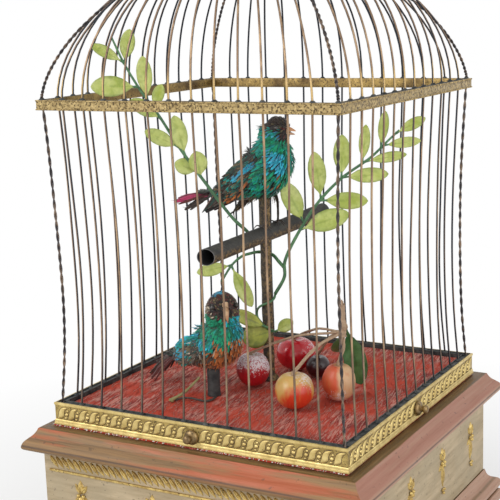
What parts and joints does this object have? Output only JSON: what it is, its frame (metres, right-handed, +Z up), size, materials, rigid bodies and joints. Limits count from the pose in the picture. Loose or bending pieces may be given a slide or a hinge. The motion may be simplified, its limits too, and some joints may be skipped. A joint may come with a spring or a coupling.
{
  "type": "singing bird automaton",
  "caption": "Singing bird automaton: a square brass wire cage with a domed top on a giltwood base, with feathered birds on a leafy tree and a clockwork, bellows and whistle in the base",
  "frame": {"origin": "centre of the square base at table level, on the cage's upright axis", "axes": "+Z up through the finial; -Y out of the front side, the one the picture shows at its left; +X out of the right side, towards the upper bird's beak"},
  "size_m": [0.274, 0.274, 0.5071],
  "materials": {
    "giltwood": "worn water gilding over red bole, satin",
    "gilt_brass": "old gilding, mottled with dark specks",
    "wire_brass": "drawn wire with dark patina, tan where rubbed",
    "red_cloth": "coarse red matting with pale fibres, matt",
    "plain_wood": "unfinished softwood, matt",
    "bark_paper": "dark paper and cloth wrapped tube, matt",
    "leaf_green": "waxed cloth leaves, yellow green with olive blotches, low sheen",
    "fruit_red": "painted spun cotton, deep red with pale bloom",
    "fruit_yellow": "painted spun cotton, yellow shading to red",
    "feather_body": "real feathers, green and turquoise with brown, iridescent",
    "feather_head": "short dark feathers, matt",
    "feather_tail": "long dark quills, low sheen",
    "beak_horn": "painted horn, warm beige with a darker tip",
    "movement_brass": "machined brass, dulled",
    "steel": "oiled steel, satin",
    "leather": "pale kid leather, matt"
  },
  "bodies": {
    "root": {"base_cornice": "giltwood", "frieze_case": "giltwood", "base_plinth": "giltwood", "foot_front_left": "giltwood", "foot_front_right": "giltwood", "foot_back_left": "giltwood", "foot_back_right": "giltwood", "gallery_strip": "gilt_brass", "band_outer_strip": "gilt_brass", "band_inner_strip": "gilt_brass", "crown_cap": "gilt_brass", "finial": "gilt_brass", "front_cage_screw": "gilt_brass", "right_cage_screw": "gilt_brass", "back_cage_screw": "gilt_brass", "left_cage_screw": "gilt_brass", "front_wire_panel": "wire_brass", "right_wire_panel": "wire_brass", "back_wire_panel": "wire_brass", "left_wire_panel": "wire_brass", "floor_mat": "red_cloth", "deck_board": "plain_wood", "bottom_board": "plain_wood", "bellows_base": "plain_wood", "tree_post": "bark_paper", "perch_tube": "bark_paper", "stump": "bark_paper", "fruit_stems": "bark_paper", "left_spray": "leaf_green", "right_spray": "leaf_green", "post_vine": "leaf_green", "fallen_twig": "leaf_green", "frosted_plum": "fruit_red", "red_plum": "fruit_red", "dark_cherry": "fruit_red", "blush_apple": "fruit_yellow", "peach": "fruit_yellow", "upper_bird_body": "feather_body", "lower_bird_body": "feather_body", "movement_frame": "movement_brass", "whistle_tube": "movement_brass"},
    "key": {"winding_key": "steel"},
    "barrel": {"mainspring_barrel": "movement_brass"},
    "cams": {"cam_stack": "movement_brass"},
    "second_wheel": {"intermediate_wheel": "movement_brass"},
    "fly": {"governor_fly": "steel"},
    "feeder": {"bellows_feeder": "leather"},
    "piston": {"whistle_piston": "leather"},
    "stop_lever": {"start_stop_lever": "gilt_brass"},
    "head_follower": {"head_lever": "steel"},
    "beak_follower": {"beak_lever": "steel"},
    "tail_follower": {"tail_lever": "steel"},
    "upper_head": {"upper_bird_head": "feather_head"},
    "upper_beak": {"upper_bird_lower_beak": "beak_horn"},
    "upper_tail": {"upper_bird_tail": "feather_tail"},
    "lower_head": {"lower_bird_head": "feather_head"},
    "lower_beak": {"lower_bird_lower_beak": "beak_horn"},
    "lower_tail": {"lower_bird_tail": "feather_tail"},
    "upper_rod": {"upper_push_rod": "steel"},
    "lower_rod": {"lower_push_rod": "steel"}
  },
  "joints": [
    {"name": "key_turn", "type": "hinge", "parent": "root", "child": "key", "pos_m": [-0.034, -0.002, 0.015], "axis": [0, 0, 1], "continuous": true},
    {"name": "barrel_turn", "type": "hinge", "parent": "root", "child": "barrel", "pos_m": [-0.034, -0.002, 0.036], "axis": [0, 0, 1], "continuous": true},
    {"name": "cams_turn", "type": "hinge", "parent": "root", "child": "cams", "pos_m": [-0.002, -0.002, 0.036], "axis": [0, 0, 1], "continuous": true},
    {"name": "second_wheel_turn", "type": "hinge", "parent": "root", "child": "second_wheel", "pos_m": [-0.03956, 0.02951, 0.036], "axis": [0, 0, 1], "continuous": true},
    {"name": "fly_turn", "type": "hinge", "parent": "root", "child": "fly", "pos_m": [-0.0155, 0.03827, 0.064], "axis": [0, 0, 1], "continuous": true},
    {"name": "feeder_lift", "type": "hinge", "parent": "root", "child": "feeder", "pos_m": [0.076, 0.03, 0.0549], "axis": [-1, 0, 0], "range_deg": [0, 10]},
    {"name": "piston_slide", "type": "slide", "parent": "root", "child": "piston", "axis": [1, 0, 0], "range_m": [0, 0.025]},
    {"name": "stop_lever_swing", "type": "hinge", "parent": "root", "child": "stop_lever", "pos_m": [-0.102, 0.032, 0.0975], "axis": [0, 0, 1], "range_deg": [0, 12]},
    {"name": "head_follower_swing", "type": "hinge", "parent": "root", "child": "head_follower", "pos_m": [0.02, 0.026, 0.0897], "axis": [0, 0, 1], "range_deg": [-3.5, 3.5], "stiffness_Nm_per_rad": 0.002},
    {"name": "beak_follower_swing", "type": "hinge", "parent": "root", "child": "beak_follower", "pos_m": [0.02, 0.026, 0.0933], "axis": [0, 0, 1], "range_deg": [0, 7], "stiffness_Nm_per_rad": 0.002},
    {"name": "tail_follower_swing", "type": "hinge", "parent": "root", "child": "tail_follower", "pos_m": [0.02, 0.026, 0.0969], "axis": [0, 0, 1], "range_deg": [0, 7], "stiffness_Nm_per_rad": 0.002},
    {"name": "upper_head_turn", "type": "hinge", "parent": "root", "child": "upper_head", "pos_m": [0.0048, 0.002, 0.3243], "axis": [0, 0, 1], "range_deg": [-30, 30]},
    {"name": "upper_beak_open", "type": "hinge", "parent": "upper_head", "child": "upper_beak", "pos_m": [0.01699, 0.002, 0.32951], "axis": [0, 1, 0], "range_deg": [-24, 0]},
    {"name": "upper_tail_lift", "type": "hinge", "parent": "root", "child": "upper_tail", "pos_m": [-0.0463, 0.002, 0.2822], "axis": [0, 1, 0], "range_deg": [0, 24]},
    {"name": "lower_head_turn", "type": "hinge", "parent": "root", "child": "lower_head", "pos_m": [-0.0124, -0.0517, 0.1968], "axis": [0, 0, 1], "range_deg": [-20, 20]},
    {"name": "lower_beak_open", "type": "hinge", "parent": "lower_head", "child": "lower_beak", "pos_m": [-0.00515, -0.06066, 0.2079], "axis": [0.7771, 0.6293, 0], "range_deg": [0, 24]},
    {"name": "lower_tail_lift", "type": "hinge", "parent": "root", "child": "lower_tail", "pos_m": [-0.05353, -0.0437, 0.1644], "axis": [0.1908, 0.9816, 0], "range_deg": [0, 24]},
    {"name": "upper_rod_lift", "type": "slide", "parent": "root", "child": "upper_rod", "axis": [0, 0, 1], "range_m": [0, 0.0035]},
    {"name": "lower_rod_lift", "type": "slide", "parent": "root", "child": "lower_rod", "axis": [0, 0, 1], "range_m": [0, 0.0035]}
  ],
  "couplings": [
    {"joint": "cams_turn", "follows": "barrel_turn", "ratio": -3},
    {"joint": "second_wheel_turn", "follows": "barrel_turn", "ratio": -3},
    {"joint": "fly_turn", "follows": "barrel_turn", "ratio": 9},
    {"joint": "upper_head_turn", "follows": "head_follower_swing", "ratio": 8},
    {"joint": "lower_head_turn", "follows": "head_follower_swing", "ratio": 5},
    {"joint": "upper_beak_open", "follows": "beak_follower_swing", "ratio": -3.4},
    {"joint": "lower_beak_open", "follows": "beak_follower_swing", "ratio": 3.4},
    {"joint": "upper_rod_lift", "follows": "beak_follower_swing", "m_per_rad": 0.028},
    {"joint": "lower_rod_lift", "follows": "beak_follower_swing", "m_per_rad": 0.028},
    {"joint": "upper_tail_lift", "follows": "tail_follower_swing", "ratio": 3.4},
    {"joint": "lower_tail_lift", "follows": "tail_follower_swing", "ratio": 3.4}
  ]
}
